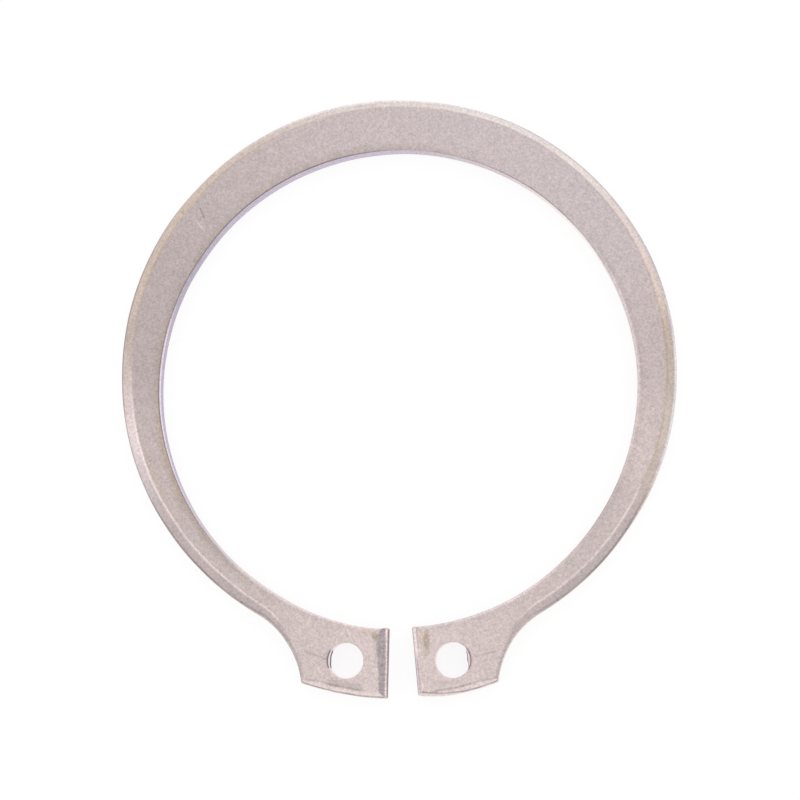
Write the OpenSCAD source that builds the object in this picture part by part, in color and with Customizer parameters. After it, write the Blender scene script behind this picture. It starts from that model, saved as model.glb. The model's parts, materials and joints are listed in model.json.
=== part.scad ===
// Retaining ring (circlip) that snaps into a groove round a shaft.
// One piece, stamped from spring steel strip. All sizes in millimetres.
// The ring lies flat with its lower face at Z = 0. The shaft's axis is Z,
// and the gap between the two lugs points to -Y. The upper face has the
// rolled edge that blanking leaves round the outside of such a ring.

/* [Ring] */
// Inner diameter of the unloaded ring
inner_d = 36.5; // [34:0.1:40]
// Radial width of the ring at its back, opposite the gap
back_w = 3.94; // [3:0.02:5]
// Radial width to which the ring narrows at the lugs
front_w = 1.86; // [1.5:0.02:2.6]
// Thickness of the steel strip
thick = 1.75; // [1:0.05:2.5]

/* [Lugs] */
// Height of the lugs, out from the inner edge
lug_h = 5.25; // [4.8:0.05:6]
// Width over the outer corners of both lugs
lugs_w = 14.9; // [13.6:0.1:18]
// Radius of the hollow flank that joins each lug to the ring
flank_r = 6.75; // [4:0.25:9]
// Gap between the two ends, at the inner edge
gap_w = 1.75; // [0.8:0.05:2.8]

/* [Plier holes] */
// Diameter of the holes for the tips of the pliers
hole_d = 2.7; // [2:0.05:3.1]
// Distance between the centres of the two holes
hole_pitch = 8.2; // [7.6:0.1:9]
// Distance of each hole's centre from the inner edge
hole_inset = 2.83; // [2.5:0.01:3.2]

/* [Rolled edges] */
// Width of the rolled band round the outside of the upper face
band_w = 0.7; // [0.4:0.05:0.9]
// Depth of that band at the outer wall
band_d = 0.32; // [0.2:0.02:0.4]
// Width of the narrower band along the outer ends of the lugs
lug_band_w = 0.4; // [0.25:0.05:0.6]
// Depth of that band at the wall
lug_band_d = 0.2; // [0.12:0.02:0.26]
// Width of the band along the two ends that face the gap
end_band_w = 0.6; // [0.3:0.05:0.8]
// Depth of that band at the wall
end_band_d = 0.26; // [0.14:0.02:0.32]
// Width of the band round the pierced edges of the lower face
pierced_band_w = 0.3; // [0.15:0.05:0.5]
// Depth of that band at the wall
pierced_band_d = 0.14; // [0.08:0.02:0.2]
// Slope at which every band leaves its flat face, in degrees
crease_ang = 8; // [4:1:12]

/* [Hidden] */
$fn = 180;

steel = [0.78, 0.74, 0.73];
// How far the cutting shapes stand clear of the metal
clear = 0.4;
// How far the flank's circle cuts into the outer arc. The two would only touch
// without it, and a touch point has no clean corner
bite = 0.01;

inner_r = inner_d / 2;
// The outer arc is off centre, so the ring tapers from its back to the lugs
outer_r = inner_r + (back_w + front_w) / 2;
arc_shift = (back_w - front_w) / 2;
lug_r = inner_r + lug_h;
// Longer than any radius of the ring
reach = 2 * (lug_r + arc_shift);

// Outer corner of a lug, seen from the centre of the outer arc
corner_x = lugs_w / 2;
corner_y = sqrt(lug_r * lug_r - corner_x * corner_x) + arc_shift;
corner_far = norm([corner_x, corner_y]);
// The flank starts on the outer arc and ends at that corner, which sets the
// direction of its centre, as an angle from -Y
flank_far = outer_r + flank_r - bite;
flank_cos = (flank_far * flank_far + corner_far * corner_far - flank_r * flank_r)
          / (2 * flank_far * corner_far);
flank_ang = atan2(corner_x, corner_y) + acos(flank_cos);

// Half the angle that the gap takes up, seen from the shaft's axis
gap_ang = asin(gap_w / inner_d);

hole_x = hole_pitch / 2;
hole_y = -sqrt(pow(inner_r + hole_inset, 2) - hole_x * hole_x);

// A band's section is one arc, from the crease on the face down to the wall
function band_r(w, d) = norm([w, d]) / (2 * sin(atan2(d, w) - crease_ang));
function band_centre(w, d) = [w + band_r(w, d) * sin(crease_ang),
                              band_r(w, d) * cos(crease_ang)];

module both_sides() {
    children();
    mirror([1, 0, 0]) children();
}

// Puts a shape at the centre of the right-hand flank's circle
module at_flank() {
    translate([flank_far * sin(flank_ang), arc_shift - flank_far * cos(flank_ang), 0])
        children();
}

module outer_disc() {
    translate([0, arc_shift]) circle(r = outer_r);
}

// Holds both lugs. Its sides run from the centre of the outer arc through the
// centres of the two flanks, where the arc ends
module lug_wedge() {
    side = (reach + arc_shift) * tan(flank_ang);
    polygon([[0, arc_shift], [side, -reach], [-side, -reach]]);
}

// The ends lie along rays from the shaft's axis
module gap() {
    side = reach * tan(gap_ang);
    polygon([[0, 0], [-side, -reach], [side, -reach]]);
}

module plier_holes() {
    both_sides() translate([hole_x, hole_y]) circle(d = hole_d);
}

module outline() {
    difference() {
        union() {
            outer_disc();
            intersection() {
                circle(r = lug_r);
                lug_wedge();
            }
        }
        both_sides() at_flank() circle(r = flank_r);
        circle(r = inner_r);
        gap();
        plier_holes();
    }
}

// Section of what is cut away to leave a rolled band at an edge of the upper
// face. The metal lies at larger X for side = 1 and at smaller X for side = -1
module band_section(edge_x, side, w, d) {
    centre = band_centre(w, d);
    difference() {
        translate([min(edge_x - side * clear, edge_x + side * centre[0]), thick - centre[1]])
            square([clear + centre[0], centre[1] + clear]);
        translate([edge_x + side * centre[0], thick - centre[1]])
            circle(r = band_r(w, d));
    }
}

module lug_wedge_block() {
    translate([0, 0, -clear]) linear_extrude(height = thick + 2 * clear) lug_wedge();
}

module outer_arc_band() {
    difference() {
        translate([0, arc_shift, 0]) rotate_extrude() band_section(outer_r, -1, band_w, band_d);
        lug_wedge_block();
    }
}

// Runs on past the end of the outer arc, where it cuts less than that arc's band
module flank_band() {
    at_flank() rotate_extrude() band_section(flank_r, 1, band_w, band_d);
}

module lug_arc_band() {
    intersection() {
        rotate_extrude() band_section(lug_r, -1, lug_band_w, lug_band_d);
        lug_wedge_block();
    }
}

module gap_end_band() {
    rotate([0, 0, gap_ang - 90]) rotate([90, 0, 90])
        linear_extrude(height = reach) band_section(0, 1, end_band_w, end_band_d);
}

// Pierced edges are rolled on the lower face instead
module pierced_band(edge_r) {
    translate([0, 0, thick]) mirror([0, 0, 1])
        rotate_extrude() band_section(edge_r, 1, pierced_band_w, pierced_band_d);
}

module retaining_ring() {
    color(steel) difference() {
        linear_extrude(height = thick) outline();
        outer_arc_band();
        both_sides() flank_band();
        lug_arc_band();
        both_sides() gap_end_band();
        pierced_band(inner_r);
        both_sides() translate([hole_x, hole_y, 0]) pierced_band(hole_d / 2);
    }
}

retaining_ring();
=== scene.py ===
import json
import math

import bmesh
import bpy
import numpy as np
from mathutils import Matrix, Vector, geometry, kdtree


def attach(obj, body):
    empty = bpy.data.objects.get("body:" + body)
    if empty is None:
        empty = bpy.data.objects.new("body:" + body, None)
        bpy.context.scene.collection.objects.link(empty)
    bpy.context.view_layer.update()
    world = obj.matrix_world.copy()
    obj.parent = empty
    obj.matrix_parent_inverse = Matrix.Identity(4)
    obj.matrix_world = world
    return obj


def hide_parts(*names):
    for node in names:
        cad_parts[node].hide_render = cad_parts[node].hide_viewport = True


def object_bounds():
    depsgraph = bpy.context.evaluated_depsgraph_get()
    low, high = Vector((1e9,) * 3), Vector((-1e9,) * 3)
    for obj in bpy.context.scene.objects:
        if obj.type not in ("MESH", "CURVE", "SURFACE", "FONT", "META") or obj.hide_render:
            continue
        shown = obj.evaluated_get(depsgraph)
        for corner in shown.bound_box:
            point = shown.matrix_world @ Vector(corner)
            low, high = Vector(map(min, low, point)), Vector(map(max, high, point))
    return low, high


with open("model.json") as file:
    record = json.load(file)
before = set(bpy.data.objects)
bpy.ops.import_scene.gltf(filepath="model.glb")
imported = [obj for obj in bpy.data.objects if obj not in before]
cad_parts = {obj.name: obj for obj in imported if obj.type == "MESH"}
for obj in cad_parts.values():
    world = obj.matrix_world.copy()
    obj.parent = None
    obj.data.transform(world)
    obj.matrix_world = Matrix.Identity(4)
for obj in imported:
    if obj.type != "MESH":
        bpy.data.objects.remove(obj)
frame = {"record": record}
cad_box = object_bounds()

# Lengths below are in millimetres and angles in degrees, unless a name says otherwise.
# Angles run anticlockwise from +X, so the gap lies at -90. The steel lies to the
# left as one walks along the outline.
MM = 0.001
MOUNTS = {mount["name"]: mount for mount in frame["record"]["mounts"]}
THICK = cad_box[1].z / MM
INNER_R = MOUNTS["shaft_seat"]["dims"]["r_mm"]
HOLE_R = MOUNTS["plier_hole_right"]["dims"]["r_mm"]
HOLE_X, HOLE_Y = [place / MM for place in MOUNTS["plier_hole_right"]["pos_m"][:2]]
# The holes, right (1) and left (-1) of the gap, each pierced a touch off its true place
HOLES = {1: np.array([HOLE_X - 0.157, HOLE_Y + 0.028]), -1: np.array([-HOLE_X - 0.009, HOLE_Y + 0.087])}

# Outer arc, off centre so that the ring tapers from its back to the lugs
OUTER_R = 21.15
ARC_CENTRE = np.array([0.0, 1.04])
# Lugs: their outer arc, the half width over their corners and their hollow flanks
LUG_R = 23.5
CORNER_X = 7.45
FLANK_R = 6.75
# The gap's ends lie along rays from the axis, and this is its width at the bore
GAP = 1.75
HALF_GAP = math.degrees(math.asin(GAP / (2 * INNER_R)))

# Spacing of the mesh along the outline, and the rounding of its upright corners
STEP = 0.13
CORNER_ROUND = 0.13


def ease(place, *stops):
    """Smooth curve through (place, value) stops, level beyond the first and the last."""
    places, values = np.array(stops, dtype=float).T
    place = np.clip(place, places[0], places[-1])
    left = np.clip(np.searchsorted(places, place, side="right") - 1, 0, len(places) - 2)
    share = (place - places[left]) / (places[left + 1] - places[left])
    share = share * share * (3 - 2 * share)
    return values[left] + (values[left + 1] - values[left]) * share


def ripple(turn, seed, pace):
    """Uneven values round the ring, about -1 to 1, with about pace waves in a full turn."""
    shake = np.random.default_rng(seed)
    waves = []
    for _ in range(5):
        wave = np.radians(turn * pace * shake.uniform(0.5, 1.7)) + shake.uniform(0, 2 * math.pi)
        waves.append(np.sin(wave))
    return sum(waves) / 2.2


def bump_at(place, centre, reach):
    """1 at centre, falling smoothly to 0 at reach to either side."""
    return np.clip(1 - ((place - centre) / reach) ** 2, 0, None) ** 2


def on_circle(radius, turn):
    """Points at radius from the axis in the directions of turn."""
    return radius * np.stack([np.cos(np.radians(turn)), np.sin(np.radians(turn))], axis=-1)


def compass(points):
    """Direction of points from the shaft's axis, from -90 at the gap round to 270."""
    return (np.degrees(np.arctan2(points[..., 1], points[..., 0])) + 90) % 360 - 90


# The outline


class Edge:
    """A stretch of the outline, from u = 0 to u = 1, with the rolled bands along it.

    The band of the upper face is top_w wide, and that of the lower face is low_w wide.
    """

    def __init__(self, name, length, point, inward, top_w, low_w):
        self.name, self.length = name, length
        self.point, self.inward = point, inward
        self.top_w, self.low_w = top_w, low_w

    def inset(self, u, width, extra=0.0):
        return self.point(u) + self.inward(u) * (width(u) + extra)[:, None]


def level(value):
    return lambda u: np.full(len(u), float(value))


# Widths of the rolled edges of the lower face: round the outside, and round the bore and the holes
BURR_W = 0.1
PIERCED_W = 0.3
# Their depths
BURR_DROP = 0.03
PIERCED_DROP = 0.14


def arc_edge(name, centre, radius, first, last, steel_inside, top_w, strays, low_w=level(BURR_W)):
    """An arc of the outline between two points. steel_inside says that the steel lies towards the centre.

    strays are (direction, distance) stops: how far the real edge lies outside the true circle.
    """
    start, end = compass(first - centre), compass(last - centre)
    end = start + (end - start) % 360 if steel_inside else start - (start - end) % 360
    joined = [(start, np.linalg.norm(first - centre) - radius), (end, np.linalg.norm(last - centre) - radius)]
    stops = sorted(joined + strays)

    def turn_at(u):
        return start + (end - start) * u

    return Edge(
        name,
        radius * math.radians(abs(end - start)),
        lambda u: centre + on_circle(radius + ease(turn_at(u), *stops)[:, None], turn_at(u)),
        lambda u: on_circle(-1 if steel_inside else 1, turn_at(u)),
        top_w,
        low_w,
    )


def line_edge(name, start, end, top_w):
    along = (end - start) / np.linalg.norm(end - start)
    left = np.array([-along[1], along[0]])
    return Edge(
        name,
        np.linalg.norm(end - start),
        lambda u: start + np.outer(u, end - start),
        lambda u: np.tile(left, (len(u), 1)),
        top_w,
        level(BURR_W),
    )


def back_band_w(u):
    """Width of the rolled band round the outer arc, narrow at the top right."""
    turn = FLANK_TURN - 90 + (360 - 2 * FLANK_TURN) * u
    return ease(
        turn, (-58, 0.76), (-34, 0.76), (-26, 0.84), (-17, 0.73), (10, 0.73), (22, 0.69), (38, 0.6),
        (50, 0.56), (64, 0.53), (100, 0.54), (118, 0.56), (140, 0.64), (180, 0.8), (200, 0.8), (212, 0.84),
        (228, 0.86), (238, 0.8),
    )


# How far the outer arc and the bore lie outside their true circles, by direction
BACK_STRAYS = [
    (-45, -0.069), (-35, -0.095), (-25, -0.045), (-15, -0.01), (-3, -0.012), (3, -0.003), (8, 0.013),
    (15, 0.01), (25, 0.027), (35, -0.015), (45, -0.03), (65, -0.029), (75, -0.078), (85, -0.096),
    (95, -0.041), (105, -0.001), (125, 0.003), (135, -0.007), (145, 0.04), (165, 0.041), (174, 0.012),
    (179, -0.006), (195, -0.006), (205, -0.034), (215, -0.077), (225, -0.104),
]
BORE_STRAYS = [
    (-84, -0.06), (-75, -0.055), (-65, -0.05), (-55, -0.06), (-45, -0.086), (-35, -0.105), (-15, -0.1),
    (5, -0.07), (25, -0.068), (35, -0.059), (45, -0.077), (55, -0.051), (85, -0.049), (95, -0.092),
    (115, -0.119), (135, -0.123), (145, -0.149), (155, -0.088), (165, -0.053), (185, -0.041),
    (205, -0.057), (225, -0.055), (235, -0.09), (240, -0.075), (244, -0.03), (249, 0), (254, 0.01),
    (259, 0.045), (264, 0.05),
]


def bore_lean(turn):
    """How far the bore's wall leans in towards the axis between its upper and lower edges."""
    return ease(
        turn, (-60, 0.03), (35, 0), (145, 0), (156, 0.038), (166, 0.07), (200, 0.05), (240, 0.045), (265, 0)
    )


def flank_band_w(u):
    """From a lug's corner at u = 0, where the band runs out, to the outer arc."""
    return ease(u, (0, 0.1), (0.3, 0.16), (0.47, 0.3), (0.68, 0.56), (1, 0.76))


def break_w(u):
    """Broken inner edge of the upper face: u runs from the left lug over the back."""
    turn = 270 - 360 * u
    return ease(turn, (-60, 0.06), (-20, 0.14), (5, 0.16), (28, 0.12), (45, 0.04), (200, 0.04))


# The flank's centre lies where the flank touches the outer arc and ends at the lug's corner
corner = np.array([CORNER_X, -math.sqrt(LUG_R**2 - CORNER_X**2)])
to_corner = corner - ARC_CENTRE
corner_far = np.linalg.norm(to_corner)
flank_far = OUTER_R + FLANK_R
FLANK_TURN = math.degrees(
    math.atan2(to_corner[0], -to_corner[1])
    + math.acos((flank_far**2 + corner_far**2 - FLANK_R**2) / (2 * flank_far * corner_far))
)
flank_centre = ARC_CENTRE + on_circle(flank_far, FLANK_TURN - 90)
mirrored = np.array([-1.0, 1.0])

# Where the edges of the real ring meet, next to the corners of its true shape. The right
# lug is a little slimmer than the left one, and its end stands further from the middle
right_corner = corner + (-0.128, -0.02)
left_corner = corner * mirrored + (-0.02, 0.051)
right_join = ARC_CENTRE + on_circle(OUTER_R - 0.055, FLANK_TURN - 90)
left_join = ARC_CENTRE + on_circle(OUTER_R - 0.115, 270 - FLANK_TURN)
right_tip = on_circle(LUG_R, HALF_GAP - 90) + (0.21, 0.2)
left_tip = on_circle(LUG_R, 270 - HALF_GAP) + (0.08, 0.006)
right_mouth = on_circle(INNER_R - 0.08, HALF_GAP - 90) + (0.05, 0)
left_mouth = on_circle(INNER_R - 0.04, 270 - HALF_GAP) + (0.02, 0)

OUTLINE = [
    line_edge("right end", right_mouth, right_tip, lambda u: ease(u, (0, 0.4), (0.5, 0.3), (1, 0.16))),
    arc_edge(
        "right lug", np.zeros(2), LUG_R, right_tip, right_corner, True,
        lambda u: ease(u, (0, 0.16), (0.12, 0.3), (0.3, 0.46), (0.5, 0.5), (0.8, 0.5), (1, 0.34)),
        [(-85.3, -0.09), (-84, -0.03), (-82, 0.045), (-80, 0.075), (-76, 0.045), (-73, 0.01)],
    ),
    arc_edge(
        "right flank", flank_centre, FLANK_R, right_corner, right_join, False, flank_band_w,
        [(166, 0.114), (156, 0.098), (143, 0.1), (130, 0.072)],
    ),
    arc_edge("back", ARC_CENTRE, OUTER_R, right_join, left_join, True, back_band_w, BACK_STRAYS),
    arc_edge(
        "left flank", flank_centre * mirrored, FLANK_R, left_join, left_corner, False,
        lambda u: flank_band_w(1 - u),
        [(52, 0.096), (46, 0.072), (33, 0.02), (21, 0.005)],
    ),
    arc_edge(
        "left lug", np.zeros(2), LUG_R, left_corner, left_tip, True,
        lambda u: ease(u, (0, 0.34), (0.2, 0.5), (0.5, 0.52), (0.8, 0.46), (1, 0.42)),
        [(254, -0.03), (258, -0.012), (264, 0.006)],
    ),
    line_edge(
        "left end", left_tip, left_mouth,
        lambda u: ease(u, (0, 0.6), (0.3, 0.64), (0.5, 0.72), (0.7, 0.86), (0.86, 0.9), (1, 0.5)),
    ),
    arc_edge(
        "bore", np.zeros(2), INNER_R, left_mouth, right_mouth, False, break_w, BORE_STRAYS,
        level(PIERCED_W),
    ),
]
EDGES = {edge.name: edge for edge in OUTLINE}


def stretches():
    """Each edge with its number, the one after it, and whether its start and its end run on smoothly."""
    for i, edge in enumerate(OUTLINE):
        after = OUTLINE[(i + 1) % len(OUTLINE)]
        yield i, edge, after, "back" in (edge.name, OUTLINE[i - 1].name), "back" in (edge.name, after.name)


def crossing(first, second):
    """Where the end of one polyline meets the start of the next: a share of each, and the point."""
    for i in range(len(first) - 1, 0, -1):
        start, step = first[i - 1], first[i] - first[i - 1]
        others, other_steps = second[:-1], second[1:] - second[:-1]
        across = step[0] * other_steps[:, 1] - step[1] * other_steps[:, 0]
        across = np.where(np.abs(across) < 1e-15, 1e-15, across)
        gap = others - start
        s = (gap[:, 0] * other_steps[:, 1] - gap[:, 1] * other_steps[:, 0]) / across
        t = (gap[:, 0] * step[1] - gap[:, 1] * step[0]) / across
        hit = np.flatnonzero((s >= 0) & (s <= 1) & (t >= 0) & (t <= 1))
        if len(hit):
            j = hit[0]
            shares = (i - 1 + s[j]) / (len(first) - 1), (j + t[j]) / (len(second) - 1)
            return *shares, start + step * s[j]
    raise ValueError("two neighbouring bands of the outline don't meet")


# How far from a corner, along the outline and past its end, the bands of two edges may meet
CORNER_REACH = 2.4
CORNER_PAST = 0.4
CORNER_STEPS = 220


def mitres(width_name, extra):
    """For each edge, where along it its inset line meets its neighbours' lines, and at which points."""
    met = [[0.0, 1.0, None, None] for _ in OUTLINE]
    for i, edge, after, _, smooth_end in stretches():
        if smooth_end:
            continue
        j = (i + 1) % len(OUTLINE)
        tail = 1 + np.linspace(-CORNER_REACH, CORNER_PAST, CORNER_STEPS) / edge.length
        head = np.linspace(-CORNER_PAST, CORNER_REACH, CORNER_STEPS) / after.length
        share, next_share, point = crossing(
            edge.inset(tail, getattr(edge, width_name), extra),
            after.inset(head, getattr(after, width_name), extra),
        )
        met[i][1], met[i][3] = tail[0] + (tail[-1] - tail[0]) * share, point
        met[j][0], met[j][2] = head[0] + (head[-1] - head[0]) * next_share, point
    return met


def count_of(edge):
    return max(4, int(edge.length / STEP))


# Points round each upright corner, as shares of the way
ROUND_SHARES = np.linspace(0, 1, 7)[1:-1]


def walk(width_name=None, extra=0.0):
    """One closed line of the mesh: the wall itself, or the inset line of a band.

    Every line has the same number of points, and points of the same number lie across
    from each other. At an upright corner the wall is rounded and the inset line is mitred.
    """
    met = mitres(width_name, extra) if width_name else None
    line = []
    for i, edge, after, smooth_start, smooth_end in stretches():
        trim = CORNER_ROUND / edge.length
        u = np.linspace(0 if smooth_start else trim, 1 if smooth_end else 1 - trim, count_of(edge))
        if width_name is None:
            points = edge.point(u)
        else:
            start, end, start_point, end_point = met[i]
            start_reach = max(3 * abs(start - u[0]), 0.02)
            end_reach = max(3 * abs(end - u[-1]), 0.02)
            pull_start = (start - u[0]) * (1 - ease(u, (u[0], 0), (u[0] + start_reach, 1)))
            pull_end = (end - u[-1]) * ease(u, (u[-1] - end_reach, 0), (u[-1], 1))
            points = edge.inset(u + pull_start + pull_end, getattr(edge, width_name), extra)
            if start_point is not None:
                points[0] = start_point
            if end_point is not None:
                points[-1] = end_point
        line.append(points[:-1] if smooth_end else points)
        if smooth_end:
            continue
        tip = edge.point(np.array([1.0]))[0]
        if width_name is None:
            leave = edge.point(np.array([1 - trim]))[0]
            arrive = after.point(np.array([CORNER_ROUND / after.length]))[0]
            share = ROUND_SHARES[:, None]
            line.append((1 - share) ** 2 * leave + 2 * share * (1 - share) * tip + share**2 * arrive)
        else:
            line.append(np.repeat(points[-1:], len(ROUND_SHARES), axis=0))
    return np.concatenate(line)


def along_outline(reading):
    """A value for each point of walk(): reading(edge, u) along an edge, blended round the corners."""
    values = []
    for _, edge, after, _, smooth_end in stretches():
        here = reading(edge, np.linspace(0, 1, count_of(edge)))
        values.append(here[:-1] if smooth_end else here)
        if not smooth_end:
            values.append(here[-1] + (reading(after, np.zeros(1))[0] - here[-1]) * ROUND_SHARES)
    return np.concatenate(values)


# Depth of a band as a share of its width, and the tight curve that ends it at the wall
BAND_SLOPE = 0.43
LIP_SHARE = 0.16
LIP_DROP = 0.1
CREASE = math.radians(8)


def band_drop(share):
    """Depth of a band, as a share of its width, at that share of the way in from the wall."""
    chord = math.atan(BAND_SLOPE)
    radius = math.hypot(1, BAND_SLOPE) / (2 * math.sin(chord - CREASE))
    from_crease = 1 - np.clip(share, 0, 1)
    centre_x, centre_y = radius * math.sin(CREASE), radius * math.cos(CREASE)
    arc = centre_y - np.sqrt(np.maximum(radius**2 - (from_crease + centre_x) ** 2, 0))
    lip = np.clip((LIP_SHARE - share) / LIP_SHARE, 0, 1)
    return arc + LIP_DROP * (1 - np.sqrt(1 - lip**2))


def smooth_round(values, passes):
    """Values of a closed line, each passed on a little to its neighbours."""
    for _ in range(passes):
        values = (np.roll(values, 1) + 2 * values + np.roll(values, -1)) / 4
    return values


# The mesh

# Spacing of the loose points of the flat faces, and how near they may lie to a line
GRID = 0.42
TOO_NEAR = GRID * 0.45
# Points as near as this are one
WELD = 1.5e-4
# Faces this far inside the line round a hole, or further, are over the hole
SLIVER = 0.0008


class Shell:
    """Collects the vertices, faces and painted values of the ring's mesh."""

    # Brightness with its painted light and shade, three tints, and 1 where the steel is a rolled band, a
    # wall, the bore's, streaked or dull. A tan below 0 is cool
    VALUES = ("tone", "tan", "violet", "ashen", "roll", "wall", "bore", "streak", "matt")
    PLAIN = {"tone": 1.0}

    def __init__(self):
        self.places, self.faces, self.painted = [], [], {name: [] for name in self.VALUES}
        self.total = 0

    def row(self, flat, height, **values):
        """Adds a line of points and returns their numbers."""
        count = len(flat)
        self.places.append(np.column_stack([flat, np.broadcast_to(height, count)]))
        for name in self.VALUES:
            self.painted[name].append(np.broadcast_to(values.get(name, self.PLAIN.get(name, 0.0)), count))
        self.total += count
        return np.arange(self.total - count, self.total)

    def strip(self, lower, upper):
        """Closed band of faces between two lines, seen from the left of the walk as the inside."""
        for i in range(len(lower)):
            j = (i + 1) % len(lower)
            self.faces.append((lower[i], lower[j], upper[j], upper[i]))

    def fill(self, loops, height, facing_up, points, values, hole_r):
        """Flat face between closed lines, with loose points in it. values(flat) paints those points.

        Loose points too near a line are left out, and so are the faces over a hole.
        """
        numbers = list(np.concatenate(loops))
        flat = np.concatenate(self.places)[numbers, :2]
        edges, start = [], 0
        for loop in loops:
            edges += [(start + i, start + (i + 1) % len(loop)) for i in range(len(loop))]
            start += len(loop)
        tree = kdtree.KDTree(len(flat))
        for i, place in enumerate(flat):
            tree.insert((place[0], place[1], 0), i)
        tree.balance()
        kept = np.array([p for p in points if tree.find((p[0], p[1], 0))[2] > TOO_NEAR])
        loose = self.row(kept, height, **values(kept))
        numbers += list(loose)
        corners = [Vector(p) for p in flat] + [Vector(p) for p in kept]
        where, _, faces, sources, _, _ = geometry.delaunay_2d_cdt(corners, edges, [], 1, 1e-7)
        for face in faces:
            middle = sum((where[i] for i in face), Vector((0, 0))) / 3
            if min(math.hypot(middle.x - x, middle.y - y) for x, y in HOLES.values()) < hole_r:
                continue
            ring = [numbers[sources[i][0]] for i in face]
            self.faces.append(tuple(ring if facing_up else ring[::-1]))

    def build(self, name):
        mesh = bpy.data.meshes.new(name)
        places = np.concatenate(self.places) * MM
        mesh.from_pydata([tuple(p) for p in places], [], [tuple(int(i) for i in f) for f in self.faces])
        for value in self.VALUES:
            attribute = mesh.attributes.new(value, "FLOAT", "POINT")
            attribute.data.foreach_set("value", np.concatenate(self.painted[value]).astype(np.float32))
        # The mitred corners repeat a point along each inset line
        welded = bmesh.new()
        welded.from_mesh(mesh)
        bmesh.ops.remove_doubles(welded, verts=welded.verts, dist=WELD * MM)
        welded.to_mesh(mesh)
        welded.free()
        mesh.polygons.foreach_set("use_smooth", np.ones(len(mesh.polygons), dtype=bool))
        return mesh


def face_grid():
    """Loose points over the flat faces, staggered and shaken a little."""
    shake = np.random.default_rng(7)
    span = np.arange(-24, 24, GRID)
    x, y = np.meshgrid(span, span)
    x = x + (np.arange(len(span)) % 2)[:, None] * GRID / 2
    points = np.column_stack([x.ravel(), y.ravel()])
    points += shake.uniform(-0.12, 0.12, points.shape) * GRID
    return points


def between(points, loops):
    """Which points lie inside the outer loop and outside the loops round the holes."""
    crossed = np.zeros(len(points), dtype=int)
    for loop in loops:
        for first, second in zip(loop, np.roll(loop, -1, axis=0)):
            over = (first[1] > points[:, 1]) != (second[1] > points[:, 1])
            slope = (second[0] - first[0]) / (second[1] - first[1] + 1e-12)
            crossed += over & (points[:, 0] < first[0] + slope * (points[:, 1] - first[1]))
    return crossed % 2 == 1


# Painting

# Lists of stops give a value by direction, unless said otherwise


def mix(first, second, share):
    return first + (second - first) * share


# The flat face: its tone, how much darker and how much browner it is by the bore
FACE_TONE = [
    (-84, 1.19), (-70, 1.13), (-60, 1.045), (-40, 1.01), (-29, 1.02), (-19, 1.1), (-8, 1.06), (2, 0.97),
    (12, 0.965), (30, 1.02), (60, 1.04), (90, 1.03), (108, 1), (122, 0.95), (140, 0.92), (150, 0.88),
    (172, 0.87), (190, 0.97), (222, 1), (235, 1.05), (250, 1.125), (264, 1.2),
]
FACE_NEAR_BORE = [
    (-70, 0.93), (-60, 1.02), (-40, 0.97), (-28, 0.9), (-10, 0.96), (10, 0.9), (30, 0.9), (42, 0.98),
    (60, 1), (75, 0.92), (90, 0.85), (110, 0.88), (125, 0.93), (140, 0.9), (160, 0.92), (182, 0.92),
    (193, 0.89), (204, 0.84), (220, 0.83), (232, 0.92), (250, 0.95),
]
FACE_BROWN = [
    (60, 0), (90, 0.35), (150, 0.4), (180, 0.5), (200, 0.9), (215, 0.5), (235, 0.1), (248, 0),
]


def face_paint(flat):
    """The flat face: paler at the lugs, browner by the bore and by the crease at the lower left."""
    turn = compass(flat)
    by_bore = ease(np.hypot(*flat.T) - INNER_R, (0.12, 1), (0.62, 0))
    from_rim = OUTER_R - np.hypot(*(flat - ARC_CENTRE).T)
    by_crease = ease(turn, (182, 0), (190, 0.2), (198, 0.42), (206, 0.3), (214, 0.1), (222, 0))
    by_crease = by_crease * ease(from_rim, (0.8, 1), (1.7, 0))
    cool = -0.4 * ease(turn, (5, 0), (30, 1), (60, 1), (100, 0.8), (125, 0.5), (180, 0.2), (200, 0))
    return {
        "tone": ease(turn, *FACE_TONE) * (1 + (ease(turn, *FACE_NEAR_BORE) - 1) * by_bore),
        "tan": cool + (ease(turn, *FACE_BROWN) * by_bore + by_crease),
    }


# The rolled band round the back and the flanks: tones of its middle and of its outermost edge, which are
# painted light and shade, brighter over the top where light falls and darker round the lower sides;
# how brown it is, and how ashen at that edge and over the top
BAND_MIDDLE_SHADING = [
    (-66, 0.99), (-60, 0.97), (-50, 0.925), (-40, 0.965), (-32, 0.98), (-20, 1.04), (-10, 1.16),
    (0, 1.01), (10, 0.985), (20, 1.17), (30, 1.15), (40, 1.165), (50, 1.23), (60, 1.21), (70, 1.28),
    (80, 1.29), (90, 1.31), (100, 1.34), (120, 1.21), (140, 1.14), (160, 1.155), (168, 1.01), (174, 1.13),
    (182, 1.36), (190, 1.55), (198, 1.29), (205, 1.06), (212, 0.96), (222, 1), (230, 0.93), (242, 1),
]
BAND_OUTERMOST_SHADING = [
    (-71, 0.96), (-66, 1.06), (-62, 1.08), (-57, 0.92), (-40, 0.86), (-33, 0.92), (-25, 1.2), (-18, 1.34),
    (-8, 1.6), (-2, 1.5), (6, 1.66), (13, 1.32), (22, 1.1), (40, 1.24), (60, 1.3), (74, 1.46), (90, 1.66),
    (104, 1.62), (120, 1.34), (140, 1.08), (152, 1), (170, 0.94), (180, 1.12), (190, 1.37), (200, 1.17),
    (206, 0.96), (220, 0.95), (230, 0.97), (240, 1.06), (244.5, 1), (247.5, 1.08), (251, 0.96),
]
BAND_BROWN_TINT = [
    (-30, 0), (-24, 0.3), (-16, 0.75), (10, 0.95), (22, 0.6), (30, 0.3), (45, 0.2), (60, -0.1), (72, 0),
    (90, 0.3), (118, 0.7), (140, 0.95), (155, 0.95), (172, 0.5), (185, -0.1), (210, -0.2),
]
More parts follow.
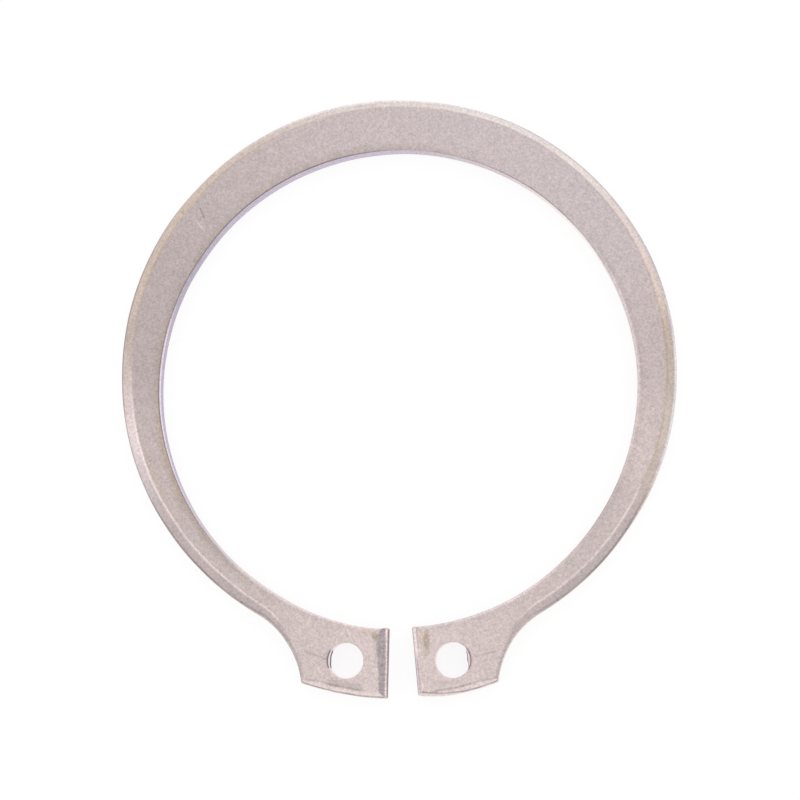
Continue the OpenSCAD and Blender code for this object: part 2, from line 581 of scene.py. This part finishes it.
ASHEN_EDGE = [
    (-26, 0), (-18, 0.2), (10, 0.18), (22, 0.06), (40, 0.08), (56, 0.1), (70, 0.04), (84, 0),
]
ASHEN_TOP = [
    (-20, 0), (-10, 0.07), (4, 0.05), (13, 0), (34, 0.01), (46, 0.09), (56, 0.1), (64, 0.14), (72, 0.12),
    (86, 0.09), (100, 0.15), (110, 0.08), (120, 0.02), (130, 0),
]

# Its crease: a painted highlight line round the lower half, a darker, brown one round the upper half
CREASE_LINE = [
    (-63, 0), (-60.5, 0.28), (-50, 0.28), (-42, 0.33), (-34, 0.36), (-27, 0.36), (-22, -0.02),
    (-17, -0.14), (-10, -0.2), (-2, -0.14), (6, -0.22), (14, -0.14), (22, -0.15), (45, -0.12),
    (70, -0.03), (90, 0), (100, 0.04), (110, 0), (126, -0.12), (140, 0), (150, -0.1), (160, -0.08),
    (170, 0.02), (178, 0.2), (190, 0.5), (198, 0.5), (206, 0.52), (214, 0.46), (222, 0.38), (230, 0.42),
    (240, 0.3), (244.5, 0),
]

# Painted shade: the dark line along its wall, and how far in from the wall that line lies
RIM_SHADE = [
    (-71, 0.2), (-66, 0.15), (-62, 0.07), (-56, 0.2), (-50, 0.16), (-42, 0.4), (-34, 0.34), (-26, 0.34),
    (-21, 0.02), (28, 0.02), (40, 0.14), (62, 0.12), (75, 0), (140, 0.05), (150, 0.36), (165, 0.46),
    (200, 0.42), (214, 0.4), (222, 0.52), (230, 0.3), (238, 0.36), (244.5, 0.21), (247, 0.15),
    (251, 0.22),
]
RIM_IN = [
    (-58, 0.16), (-50, 0.07), (-42, 0.06), (-34, 0.09), (-26, 0.17), (-20, 0.04), (140, 0.04),
    (152, 0.056), (172, 0.056), (182, 0.044), (200, 0.04), (214, 0.08), (224, 0.1), (231, 0.12),
    (239, 0.19),
]

# The crease of the lugs fades out towards the gap
LUG_CREASE = [(-85.5, 0), (-83.5, 1), (-74, 1), (-71, 0.4), (252, 0.4), (255, 1), (261, 1), (264.5, 0)]
LUG_TONE = 1.45

# Painted highlights and shade on the band of the right end, near the bore and beyond it, by
# distance from its wall
PALE_END = [
    (0, 0.95), (0.04, 1.15), (0.1, 1.9), (0.22, 2.08), (0.3, 1.05), (0.36, 0.9), (0.46, 1),
]
LINED_END = [
    (0, 0.95), (0.04, 1), (0.1, 1.7), (0.17, 1.3), (0.22, 1.18), (0.28, 1.5), (0.36, 1.68), (0.44, 1.5),
]


def back_tone(turn, out, strip):
    """Painted light and shade of the band at distance out from the wall. strip is 1 by the pale reflection.
    """
    near_wall = mix(ease(out, (0.1, 1), (0.24, 0)), ease(out, (0.13, 1), (0.2, 0)), strip)
    tone = mix(ease(turn, *BAND_MIDDLE_SHADING), ease(turn, *BAND_OUTERMOST_SHADING), near_wall)
    # Painted shade darkens the outermost edge on the right
    dull = strip * ease(turn, (-14, 0), (-6, 1), (8, 1), (14, 0)) * ease(out, (0.02, 1), (0.08, 0))
    return tone * (1 - 0.16 * dull)


def back_tan(turn, out, brown_tint):
    """Its brown tint, cooler towards the wall on the right and over the top."""
    cooler = ease(turn, (-24, 0), (-16, 1), (100, 1), (135, 0.4), (176, 0.3), (190, 0))
    by_wall = mix(-0.55, brown_tint, ease(out, (0.04, 0), (0.46, 1)))
    cool_left = 0.4 * ease(turn, (185, 0), (192, 1), (201, 1), (207, 0))
    warm_left = 0.3 * ease(turn, (202, 0), (213, 1), (240, 1), (247, 0)) * ease(out, (0.1, 1), (0.26, 0))
    return mix(brown_tint, by_wall, cooler) - cool_left + warm_left


def end_paint(on, out, flat):
    """Tone, painted light and shade, and violet of the bands along the two ends of the gap."""
    by_bore = ease(np.hypot(*flat.T), (20.1, 1), (20.7, 0))
    right_tone = mix(ease(out, *LINED_END), ease(out, *PALE_END), by_bore)
    # The left end's band is in painted shade, with a painted highlight line along it
    shine = bump_at(out, mix(0.08, 0.11, by_bore), mix(0.11, 0.14, by_bore))
    left_tone = mix(mix(0.77, 0.79, by_bore), 1.75, shine)
    right_violet = ease(out, (0.04, 0.7), (0.1, 0), (0.15, 0), (0.2, 0.35), (0.27, 0)) * (1 - 0.7 * by_bore)
    left_violet = 0.15 * ease(out, (0.16, 0), (0.24, 1))
    return (
        on["right end"] * right_tone + on["left end"] * left_tone,
        on["right end"] * right_violet + on["left end"] * left_violet,
    )


def band_paint(on, turn, out, width, flat):
    """Values at distance out from the wall: the band's own, running into the face's at its crease."""
    round_back = on["back"] + on["left flank"] + on["right flank"]
    lug = on["left lug"] + on["right lug"]
    left = width - out
    # The crease is washed out on the left
    soft = 1 + 2.2 * ease(turn, (138, 0), (150, 1), (192, 1), (203, 0))
    on_band = ease(left / soft, (-0.03, 0), (0.06, 1))
    face = face_paint(flat)

    # On the right a painted reflection, a pale strip, follows the wall, with a fine dark line of painted
    # shade inside it
    strip = ease(turn, (-27, 0), (-19, 1), (12, 1), (26, 0))
    groove_shade = 0.07 * round_back * strip * bump_at(out, 0.23, 0.07)
    end_tone, violet = end_paint(on, out, flat)
    tone = round_back * back_tone(turn, out, strip) + lug * LUG_TONE + end_tone + on["bore"] * face["tone"]
    brown_tint = ease(turn, *BAND_BROWN_TINT)
    tan = round_back * back_tan(turn, out, brown_tint) + on["bore"] * face["tan"]
    ashen_edge = ease(turn, *ASHEN_EDGE) * ease(out, (0.02, 1), (0.16, 0))
    ashen_top = ease(turn, *ASHEN_TOP) * ease(left, (-0.04, 0), (0.08, 1))

    # Painted shade: the dark line along the wall
    rim = (
        round_back * ease(turn, *RIM_SHADE)
        + lug * (0.55 + 0.1 * ripple(turn, 5, 90) - 0.04 * on["left lug"])
        + on["right end"] * 0.25
    )
    by_gap = ease(turn, (-85.5, 0.2), (-82, 0.14), (-77, 0.02))
    lug_rim_in = 0.07 + 0.02 * on["left lug"] + by_gap * on["right lug"]
    rim_in = mix(ease(turn, *RIM_IN), lug_rim_in, lug)
    rim_reach = mix(ease(turn, (-24, 0.12), (-18, 0.075), (198, 0.075), (212, 0.12)), 0.075, lug)

    # The crease's painted highlight and its darker line, broad and soft at the lugs and wherever it is light
    line = (
        round_back * ease(turn, *CREASE_LINE)
        - lug * (0.28 + 0.1 * ripple(turn, 3, 60)) * ease(turn, *LUG_CREASE)
        - on["left end"] * 0.12
    )
    line_reach = 0.1 + 0.04 * lug + 0.03 * (line > 0.2)
    # The brown runs a little way onto the face
    past_crease = ease(left, (-0.32, 0), (-0.02, 1)) * (1 - on_band)
    brown_past = 0.6 * round_back * np.clip(brown_tint, 0, 1) * past_crease

    base = mix(face["tone"], tone * (1 - groove_shade), on_band) * (1 - rim * bump_at(out, rim_in, rim_reach))
    return {
        "tone": base * (1 + line * bump_at(left, 0.01, line_reach)),
        "tan": mix(face["tan"], tan, on_band) + brown_past,
        "violet": violet * on_band,
        "ashen": round_back * (ashen_edge + ashen_top) * on_band,
        "roll": on_band * (1 - on["bore"]),
        "streak": on["left end"] * on_band,
    }


# The bore's edge on the upper face: a fine dark line of painted shade on the left, a broken edge painted
# pale as a highlight on the right, and inside that a wider worn rim, palest on the right
BORE_SHADE_LINE = [
    (-10, 0.1), (38, 0.18), (48, 0.4), (60, 0.34), (74, 0.12), (86, 0.05), (90, 0.1), (98, 0.44),
    (108, 0.6), (128, 0.58), (150, 0.46), (164, 0.33), (184, 0.48), (197, 0.5), (206, 0.42), (216, 0.22),
    (228, 0),
]
BORE_EDGE_HIGHLIGHT = [
    (-75, 0.24), (-60, 0.3), (-45, 0.2), (-30, 0.12), (-12, 0.25), (18, 0.3), (34, 0.1), (44, 0),
    (212, 0), (230, 0.2), (242, 0.24), (262, 0.22),
]
BORE_WORN = [
    (-84, 0.04), (-66, 0.13), (-54, 0.1), (-45, 0.04), (-34, 0), (-24, 0.06), (-8, 0.08), (2, 0.32),
    (18, 0.33), (27, 0.24), (34, 0.12), (46, 0.05), (60, 0), (198, 0), (206, -0.03), (226, -0.03),
    (236, 0.02),
]


def bore_edge_paint(on, turn, out, paint):
    """The paint of the bore's edge, laid over what the face has there."""
    line_in = ease(turn, (184, 0.03), (194, 0), (212, 0), (224, 0.03))
    dark = on["bore"] * ease(turn, *BORE_SHADE_LINE) * bump_at(out, line_in, 0.09)
    pale = on["bore"] * ease(turn, *BORE_EDGE_HIGHLIGHT) * ease(out, (0.08, 1), (0.17, 0))
    worn = on["bore"] * ease(turn, *BORE_WORN) * ease(out, (0.17, 1), (0.3, 0))
    paint["tone"] = paint["tone"] * (1 - dark) * (1 + pale) * (1 + worn)
    paint["tan"] = paint["tan"] - np.clip(worn, 0, 1) * 1.8 - pale * 2.2
    return paint


# The bore's wall: its tone, painted pale where it mirrors the white surroundings, and how lavender it
# looks on the left, a painted reflection
BORE_WALL = [
    (15, 1.3), (42, 1.7), (65, 1.28), (85, 1.22), (100, 1.2), (130, 1.16), (150, 1), (175, 1.08),
    (195, 1.1), (206, 1.2), (216, 1.3), (235, 1.4),
]
BORE_LAVENDER_REFLECTION = [
    (40, 0), (70, 0.35), (95, 0.7), (115, 0.75), (165, 0.75), (180, 0.95), (200, 0.9), (222, 0.35),
    (245, 0),
]

# The outer wall is painted pale, as it mirrors the white floor
OUTER_WALL_TONE = 1.3


def wall_paint(on, turn, depth):
    """Walls, at a depth of 0 by the upper face to 1 below: painted pale where they mirror the white floor."""
    bore, left_end = on["bore"], on["left end"]
    # A painted highlight, a white line, runs below the bore's edge on the left
    white_highlight = bump_at(depth, 0.17, 0.14) * ease(turn, (152, 0), (172, 1), (195, 1), (207, 0.4), (216, 0))
    bore_tone = mix(ease(turn, *BORE_WALL), 1.75, white_highlight)
    # Painted shade on the left end's wall near the top, and a pale painted reflection lower down
    left_end_tone = ease(depth, (0, 0.5), (0.4, 0.6), (0.7, 1.8))
    matt = ease(turn, (45, 0), (80, 1), (212, 1), (240, 0)) * (1 - 0.9 * white_highlight)
    return {
        "tone": bore * bore_tone + left_end * left_end_tone + (1 - bore - left_end) * OUTER_WALL_TONE,
        "violet": bore * ease(turn, *BORE_LAVENDER_REFLECTION) * (1 - white_highlight) + left_end * 0.3,
        "wall": 1.0,
        "bore": bore,
        "matt": bore * matt + left_end,
    }


# Rows of the mesh, as shares of the way: in over the upper band, down the wall, and in over the
# lower band. Those of the flat face beside the upper band are distances
TOP_SHARES = (0.01, 0.035, 0.07, 0.11, 0.16, 0.24, 0.34, 0.46, 0.58, 0.7, 0.82, 0.92, 1)
FLAT_ROWS = (0.05, 0.11, 0.18, 0.28)
WALL_SHARES = (0, 0.03, 0.07, 0.12, 0.2, 0.32, 0.42, 0.5, 0.6, 0.72, 0.84, 0.93)
LOW_SHARES = (0, 0.06, 0.15, 0.3, 0.5, 0.75, 1)
# The outer wall breaks away a little below its sheared part
BREAK_IN = 0.04
LOWER_TONE = 1.05

# Rows round a plier hole on the upper face: distance from its edge, and how far they are rounded down
HOLE_BRINK = ((0.012, 0.012), (0.035, 0.002), (0.08, 0), (0.16, 0))
HOLE_TOP = 0.02
HOLE_SPOKES = 120
# Paint of its wall where it isn't worn: painted pale, as it mirrors the white floor
HOLE_WALL = {"tone": 1.6, "violet": 0.0, "matt": 0.0}


def hole_lean(turn, side):
    """How far a plier hole's wall leans in at the side away from the gap, where pliers have worn it."""
    if side > 0:
        return ease((turn + 180) % 360 - 180, (-33, 0), (-24, 0.12), (3, 0.28), (28, 0.2), (46, 0))
    return ease(turn % 360, (138, 0), (156, 0.06), (178, 0.1), (198, 0.04), (207, 0))


def worn_side_shading(depth, side):
    """Painted light and shade on a hole's worn side: a brink in shadow, a highlight line, a dark line in
    shade.
    """
    depths = (0.03, 0.08, 0.2, 0.27) if side > 0 else (0.05, 0.12, 0.42, 0.56)
    lit = float(ease(depth, *zip(depths, (0, 1, 1, 0))))
    return {"tone": mix(0.22, 1.7, lit), "violet": mix(1.0, 0.25, lit), "matt": 1 - lit}


def outline_rows(shell):
    """All rows of the outline, from the lower face up the wall to the upper face."""
    wall, crease, low_crease = walk(), walk("top_w"), walk("low_w")
    on = {
        name: along_outline(lambda edge, u, name=name: np.full(len(u), float(edge.name == name)))
        for name in EDGES
    }
    turn = compass(wall)
    wide = along_outline(lambda edge, u: edge.top_w(u))
    deep = smooth_round(wide, 2)
    # The bands of the gap's ends run out over the bore's edge
    lateral = np.abs(wall[:, 0]) - INNER_R * math.sin(math.radians(HALF_GAP))
    right_w = EDGES["right end"].top_w(np.zeros(1))[0]
    left_w = EDGES["left end"].top_w(np.ones(1))[0]
    end_w = np.where(wall[:, 0] > 0, right_w, left_w)
    runs_out = (on["bore"] > 0.5) & (wall[:, 1] < 0)
    extra_drop = np.where(runs_out, end_w * band_drop(np.clip(lateral / end_w, 0, 1)), 0)
    top_height = THICK - deep * band_drop(0.0) - extra_drop
    low_drop = smooth_round(np.where(on["bore"] > 0.5, PIERCED_DROP, BURR_DROP), 3)
    inward = (low_crease - wall) / np.linalg.norm(low_crease - wall, axis=1)[:, None]
    low_wall = wall + inward * mix(BREAK_IN, -bore_lean(turn), on["bore"])[:, None]

    rows = []
    for share in reversed(LOW_SHARES):
        flat = mix(low_wall, low_crease, share)
        rows.append(shell.row(flat, low_drop * (1 - share) ** 2, tone=LOWER_TONE))
    for depth in reversed(WALL_SHARES):
        # The bore is broken out at the top and sheared below, and the outer wall the other way round
        drawn = mix(ease(depth, (0.45, 0), (1, 1)), ease(depth, (0, 0), (0.22, 1)), on["bore"])
        height = low_drop + (top_height - low_drop) * (1 - depth)
        rows.append(shell.row(mix(wall, low_wall, drawn[:, None]), height, **wall_paint(on, turn, depth)))
    upper = [
        (mix(wall, crease, share), share * wide, THICK - deep * band_drop(share) - extra_drop * (1 - share))
        for share in TOP_SHARES
    ]
    upper += [(walk("top_w", extra), wide + extra, THICK) for extra in FLAT_ROWS]
    for flat, out, height in upper:
        paint = band_paint(on, turn, out, wide, flat)
        rows.append(shell.row(flat, height, **bore_edge_paint(on, turn, out, paint)))
    return rows


def hole_rows(shell, side):
    """All rows of a plier hole, from the lower face up its wall to the upper face."""
    # Clockwise, so that the steel lies to the left
    turn = np.linspace(0, -360, HOLE_SPOKES + 1)[:-1]
    spoke = on_circle(1, turn)
    lean = hole_lean(turn, side)
    worn = np.clip(lean / lean.max() * 3, 0, 1)
    inner = (HOLE_R - lean)[:, None]
    rows = []
    for share in reversed(LOW_SHARES):
        flat = HOLES[side] + spoke * mix(inner, HOLE_R + PIERCED_W, share)
        rows.append(shell.row(flat, PIERCED_DROP * (1 - share) ** 2, tone=LOWER_TONE))
    for depth in reversed(WALL_SHARES):
        radius = mix(HOLE_R, inner, ease(np.array([depth]), (0, 0), (0.35, 1))[0])
        height = PIERCED_DROP + (THICK - HOLE_TOP - PIERCED_DROP) * (1 - depth)
        dark = worn_side_shading(depth, side)
        paint = {name: mix(HOLE_WALL[name], dark[name], worn) for name in HOLE_WALL}
        rows.append(shell.row(HOLES[side] + spoke * radius, height, wall=1.0, bore=1.0, **paint))
    for inset, drop in HOLE_BRINK:
        flat = HOLES[side] + spoke * (HOLE_R + inset)
        paint = face_paint(flat)
        # The brink on the worn side is darkened by a painted shadow
        paint["tone"] = paint["tone"] * (1 - 0.62 * worn * bump_at(inset, 0.02, 0.11))
        rows.append(shell.row(flat, THICK - drop, **paint))
    return rows


def ring_mesh():
    shell = Shell()
    walls = [outline_rows(shell), hole_rows(shell, 1), hole_rows(shell, -1)]
    for rows in walls:
        for lower, upper in zip(rows, rows[1:]):
            shell.strip(lower, upper)
    lower_loops = [rows[0] for rows in walls]
    upper_loops = [rows[-1] for rows in walls]
    places = np.concatenate(shell.places)[:, :2]
    grid = face_grid()
    upper_points = grid[between(grid, [places[loop] for loop in upper_loops])]
    lower_points = grid[between(grid, [places[loop] for loop in lower_loops])]
    upper_r = HOLE_R + HOLE_BRINK[-1][0] - SLIVER
    lower_r = HOLE_R + PIERCED_W - SLIVER
    shell.fill(upper_loops, THICK, True, upper_points, face_paint, upper_r)
    shell.fill(lower_loops, 0.0, False, lower_points, lambda flat: {"tone": LOWER_TONE}, lower_r)
    return shell.build("ring")


# Materials


class Wire:
    """A node's output that takes part in sums like a number."""

    def __init__(self, desk, socket):
        self.desk, self.socket = desk, socket

    def __add__(self, other):
        return self.desk.math("ADD", self, other)

    __radd__ = __add__

    def __sub__(self, other):
        return self.desk.math("SUBTRACT", self, other)

    def __rsub__(self, other):
        return self.desk.math("SUBTRACT", other, self)

    def __mul__(self, other):
        return self.desk.math("MULTIPLY", self, other)

    __rmul__ = __mul__


class Desk:
    """The node tree of one material or world, emptied."""

    def __init__(self, owner):
        owner.use_nodes = True
        self.tree = owner.node_tree
        self.tree.nodes.clear()

    def node(self, kind, settings=None, inputs=None, output=0):
        made = self.tree.nodes.new("ShaderNode" + kind)
        for name, value in (settings or {}).items():
            setattr(made, name, value)
        for name, value in (inputs or {}).items():
            if isinstance(value, Wire):
                self.tree.links.new(value.socket, made.inputs[name])
            elif value is not None:
                made.inputs[name].default_value = value
        return Wire(self, made.outputs[output]) if len(made.outputs) else made

    def math(self, operation, first, second, clamp=False):
        settings = {"operation": operation, "use_clamp": clamp}
        return self.node("Math", settings, {0: first, 1: second})

    def clamp(self, value):
        return self.math("ADD", value, 0.0, clamp=True)

    def rise(self, value, low, high):
        """0 below low and 1 above high, smooth between. low may lie above high."""
        settings = {"interpolation_type": "SMOOTHSTEP"}
        ends = {1: low, 2: high, 3: 0.0, 4: 1.0} if low <= high else {1: high, 2: low, 3: 1.0, 4: 0.0}
        return self.node("MapRange", settings, {0: value, **ends})

    def vector(self, operation, first, second=None, scale=None):
        inputs = {0: first, 1: second, "Scale": scale}
        made = "Value" if operation in ("LENGTH", "DOT_PRODUCT", "DISTANCE") else "Vector"
        return self.node("VectorMath", {"operation": operation}, inputs, made)

    def blend(self, first, second, factor):
        """Mixes two colours. Sockets 6 and 7 of the Mix node are its colours, and output 2."""
        settings = {"data_type": "RGBA", "clamp_factor": True}
        return self.node("Mix", settings, {0: factor, 6: first, 7: second}, 2)

    def painted(self, name):
        return self.node("Attribute", {"attribute_name": name}, output="Fac")

    def rays(self):
        """Whether a ray goes to the camera, is mirrored, or passes through."""
        outputs = self.node("LightPath").socket.node.outputs
        return [Wire(self, outputs[f"Is {kind} Ray"]) for kind in ("Camera", "Glossy", "Transmission")]

    def noise(self, place, scale, detail=2.0, rough=0.5):
        inputs = {"Vector": place, "Scale": scale, "Detail": detail, "Roughness": rough}
        return self.node("TexNoise", {}, inputs, "Fac")


def srgb(*levels):
    """Colour written in the usual 0 to 255 values, none of them dark, as the linear ones of a node."""
    return (*[((level / 255 + 0.055) / 1.055) ** 2.4 for level in levels], 1.0)


def turned(desk, place, angle, along, across):
    """Place turned in the plane by angle and stretched, for patterns that run in one direction."""
    spun = desk.node("Mapping", {}, {"Vector": place, "Rotation": (0, 0, math.radians(-angle))})
    return desk.vector("MULTIPLY", spun, (along, across, 1))


# Marks on the upper face: from, to, half width, softness, and how much they darken or lighten
MARKS = [
    # Scratch and nicks on the left lug
    ((-7.07, -19.9), (-5.56, -20.45), 0.03, 0.1, -0.16),
    ((-2.7, -20.56), (-1.75, -20.8), 0.02, 0.09, -0.1),
    ((-2.45, -20.98), (-1.5, -21.16), 0.03, 0.09, -0.1),
    # Greyer patch under the left hole
    ((-5.2, -22.18), (-3.1, -22.62), 0.1, 0.3, -0.16),
    # Scratch and notch on the right lug
    ((5.53, -20.45), (7.2, -20.02), 0.03, 0.08, -0.16),
    ((7.42, -20.7), (7.62, -20.7), 0.02, 0.05, 0.18),
    ((2.6, -22.4), (4.6, -22.3), 0.05, 0.25, -0.08),
    # Dark dash and light scratch at the upper left
    ((-14.98, 14.11), (-14.68, 13.42), 0.02, 0.06, -0.36),
    ((-15.5, 13.5), (-14.6, 12.26), 0.01, 0.06, 0.2),
    ((-16.33, 13.85), (-16.27, 13.68), 0.02, 0.07, -0.34),
    # Step across the band at the lower right
    ((13.55, -13.95), (14.0, -14.4), 0.02, 0.06, -0.14),
    # Nicks where the flanks meet the outer arc
    ((-12.03, -16.05), (-12.0, -16.12), 0.02, 0.07, -0.4),
    ((11.86, -16.24), (11.9, -16.3), 0.02, 0.07, -0.4),
    # Fleck at the bore's edge
    ((3.16, 18.0), (3.6, 17.92), 0.02, 0.05, -0.2),
]

# Stains: centre, half width, half height, strength of the brown and of the darkening
STAINS = [
    ((-1.92, -18.72), 0.36, 0.45, 1.4, 0.16),
    ((1.72, -18.85), 0.46, 0.75, 0.8, 0.06),
    ((2.05, -19.2), 0.36, 1.1, 0.6, 0.22),
    ((1.95, -19.8), 0.3, 0.9, 0.5, 0.08),
    ((-1.9, -19.0), 0.24, 0.62, 0.7, 0.12),
    ((-2.4, -18.45), 0.7, 0.26, 0.8, 0.03),
]


def mark_mask(desk, place, start, end, half_width, soft):
    """1 on a short stroke of the flat face, falling to 0 over soft at its sides."""
    run = (end[0] - start[0], end[1] - start[1])
    square = run[0] ** 2 + run[1] ** 2
    away = desk.vector("SUBTRACT", place, (start[0], start[1], 0))
    share = desk.clamp(desk.vector("DOT_PRODUCT", away, (run[0] / square, run[1] / square, 0)))
    near = desk.vector("SCALE", (run[0], run[1], 0.0), scale=share)
    gap = desk.vector("DISTANCE", away, near)
    return desk.rise(gap, half_width + soft, half_width)


# The steel's plain colour, and what it is tinted towards
PLAIN_STEEL = srgb(200, 186, 184)
BROWN_STEEL = (PLAIN_STEEL[0], PLAIN_STEEL[1] * 0.957, PLAIN_STEEL[2] * 0.83, 1)
COOL_STEEL = (PLAIN_STEEL[0] * 0.97, PLAIN_STEEL[1] * 0.985, PLAIN_STEEL[2] * 1.02, 1)
ASHEN_STEEL = srgb(170, 200, 185)
VIOLET_STEEL = srgb(192, 184, 206)


def steel():
    """Tumbled spring steel, shaded by the values painted on the mesh. Lengths are in millimetres."""
    material = bpy.data.materials.new("tumbled steel")
    desk = Desk(material)
    spot = desk.vector("SCALE", desk.node("TexCoord", output="Object"), scale=1 / MM)
    height = desk.node("SeparateXYZ", {}, {0: spot}, "Z")
    flat = desk.vector("MULTIPLY", spot, (1, 1, 0))
    painted = [desk.painted(name) for name in Shell.VALUES]
    tone, brown, violet, ashen, roll, wall, bore, streak, matt = painted
    on_top = desk.rise(height, THICK - 0.5, THICK - 0.35)

    # Mottle of the tumbled surface, in cells of about a tenth of a millimetre
    cells = desk.noise(spot, 5.5, 3.0, 0.6) - 0.5
    patches = desk.noise(spot, 1.1, 2.0) - 0.5
    grain = desk.noise(spot, 14.0, 1.0) - 0.5
    mottle = 1 + 0.75 * cells + 0.14 * patches + 0.5 * grain

    # Fine scratches that run in a few directions
    scratches = 0.0
    for angle, shift in ((18, 0), (74, 5.0), (-36, 9.0), (-68, 13.0)):
        moved = desk.vector("ADD", turned(desk, spot, angle, 0.35, 6.5), (shift, shift, 0))
        ridge = desk.noise(moved, 1.0, 2.0, 0.45)
        scratches = desk.rise(ridge, 0.64, 0.76) * 0.08 - desk.rise(ridge, 0.33, 0.24) * 0.07 + scratches
    shade = tone * mottle * (1 + scratches * (1 - 0.7 * wall))

    for centre, half_w, half_h, browner, darker in STAINS:
        away = desk.vector("SUBTRACT", flat, (centre[0], centre[1], 0))
        scaled = desk.vector("MULTIPLY", away, (1 / half_w, 1 / half_h, 0))
        stain = desk.rise(desk.vector("LENGTH", scaled) + 0.8 * cells, 1.0, 0.3) * on_top
        brown = brown + stain * browner
        shade = shade * (1 - darker * stain)
    for start, end, half_width, soft, change in MARKS:
        mask = mark_mask(desk, flat, start, end, half_width, soft) * on_top
        shade = shade * (1 + change * mask)

    # Drawn streaks of the left end's band, which run across it
    drawn = desk.noise(turned(desk, spot, 0, 0.6, 9.0), 1.0, 3.0, 0.6) - 0.5
    shade = shade * (1 + (0.7 * drawn + 0.5 * cells) * streak)

    # Walls: smooth where sheared, rough and darker where broken out
    edge_noise = desk.noise(desk.vector("MULTIPLY", spot, (1, 1, 0.2)), 2.6, 3.0) - 0.5
    outer_broken = desk.rise(height + 0.35 * edge_noise, 0.86, 0.74) * (1 - bore)
    bore_broken = desk.rise(height + 0.3 * edge_noise, 0.95, 1.08) * bore
    broken = (outer_broken + bore_broken) * wall
    rough_wall = desk.noise(desk.vector("MULTIPLY", spot, (1, 1, 0.35)), 8.0, 3.0, 0.65) - 0.5
    shade = shade * (1 + 0.9 * rough_wall * broken)

    colour = desk.blend(PLAIN_STEEL, BROWN_STEEL, brown)
    colour = desk.blend(colour, COOL_STEEL, brown * -2.0)
    colour = desk.blend(colour, ASHEN_STEEL, ashen)
    colour = desk.blend(colour, VIOLET_STEEL, violet)
    colour = desk.vector("SCALE", colour, scale=shade)

    bump_height = cells * 0.5 + grain * 0.4 + scratches * 1.2 + rough_wall * broken * 2.0
    normal = desk.node("Bump", {}, {"Strength": 0.12, "Distance": 0.00003, "Height": bump_height})
    rough = 0.42 - 0.1 * roll - 0.1 * wall + 0.16 * broken + 0.1 * cells
    inputs = {"Base Color": colour, "Metallic": 1.0, "Normal": normal, "Roughness": rough}
    metal = desk.node("BsdfPrincipled", {}, inputs)
    # Walls seen at a glancing angle don't mirror the white floor where they are dull
    inputs = {"Base Color": colour, "Normal": normal, "Roughness": 0.6, "Specular IOR Level": 0.0}
    dull = desk.node("BsdfPrincipled", {}, inputs)
    surface = desk.node("MixShader", {}, {0: matt * 0.85, 1: metal, 2: dull})
    desk.node("OutputMaterial", {}, {"Surface": surface})
    return material


mesh = ring_mesh()
mesh.materials.append(steel())
ring = bpy.data.objects.new("circlip", mesh)
bpy.context.scene.collection.objects.link(ring)
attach(ring, "root")
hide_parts("retaining_ring")

# Floor


def paper():
    """White paper: pure white to the camera and in the steel, with a soft shadow under the ring."""
    material = bpy.data.materials.new("white paper")
    desk = Desk(material)
    to_camera, glossy, through = desk.rays()
    seen = desk.clamp(to_camera + glossy + through)
    matt = desk.node("BsdfDiffuse", {}, {"Color": (0.2, 0.2, 0.2, 1)})
    # The lamps bring the rest of the white, and rays that light the steel meet a dimmer paper
    glow = desk.node("Emission", {}, {"Color": (1, 1, 1, 1), "Strength": seen * 0.13 + 0.7})
    both = desk.node("AddShader", {}, {0: matt, 1: glow})
    desk.node("OutputMaterial", {}, {"Surface": both})
    return material


sheet = bpy.data.meshes.new("floor")
reach, level_z = 1.5, -0.02 * MM
sheet.from_pydata(
    [(x * reach, y * reach, level_z) for x, y in ((-1, -1), (1, -1), (1, 1), (-1, 1))], [], [(0, 1, 2, 3)]
)
sheet.materials.append(paper())
floor = bpy.data.objects.new("floor", sheet)
bpy.context.scene.collection.objects.link(floor)

# Light

world = bpy.data.worlds.new("studio")
bpy.context.scene.world = world
desk = Desk(world)
to_camera, glossy, through = desk.rays()
# White to the camera, and a touch weaker in the steel and as light
seen = desk.clamp(to_camera + through)
strength = seen + glossy * 0.93 + (1 - desk.clamp(seen + glossy)) * 0.9
background = desk.node("Background", {}, {"Color": (1, 1, 1, 1), "Strength": strength})
desk.node("OutputWorld", {}, {"Surface": background})


def soft_lamp(name, azimuth, elevation, distance, size, power):
    """A round lamp aimed at the ring's axis. Distance and size are in metres, and power is in watts."""
    light = bpy.data.lights.new(name, "AREA")
    light.shape, light.size, light.energy = "DISK", size, power
    lamp = bpy.data.objects.new(name, light)
    flat_share = math.cos(math.radians(elevation))
    away = Vector((*on_circle(flat_share, azimuth), math.sin(math.radians(elevation))))
    facing = away.to_track_quat("Z", "Y").to_matrix().to_4x4()
    lamp.matrix_world = Matrix.Translation(away * distance) @ facing
    bpy.context.scene.collection.objects.link(lamp)


soft_lamp("overhead lamp", 90, 78, 0.7, 0.5, 0.1)
soft_lamp("window lamp", 60, 42, 0.7, 0.6, 0.3)

# Camera

LEAN_RIGHT, LEAN_FRONT = math.radians(5.15), math.radians(6.27)
lean = Vector((math.sin(LEAN_RIGHT), -math.sin(LEAN_FRONT), 0))
lean.z = math.sqrt(1 - lean.length_squared)
EYE_FAR = 220
AIM = Vector((0.24, -0.995, THICK))
EYE = Vector((0, 0, THICK)) + lean * EYE_FAR
ROLL = math.radians(-0.69)
LENS = 130.752

camera = bpy.data.objects.new("camera", bpy.data.cameras.new("camera"))
camera.data.lens = LENS
camera.data.sensor_width = 36
camera.data.clip_start, camera.data.clip_end = 0.01, 10
back = (EYE - AIM).normalized()
right = Vector((0, 1, 0)).cross(back).normalized()
up = back.cross(right)
right, up = (
    right * math.cos(ROLL) + up * math.sin(ROLL),
    up * math.cos(ROLL) - right * math.sin(ROLL),
)
camera.matrix_world = Matrix.Translation(EYE * MM) @ Matrix((right, up, back)).transposed().to_4x4()
bpy.context.scene.collection.objects.link(camera)
bpy.context.scene.camera = camera
bpy.context.scene.view_settings.view_transform = "Standard"
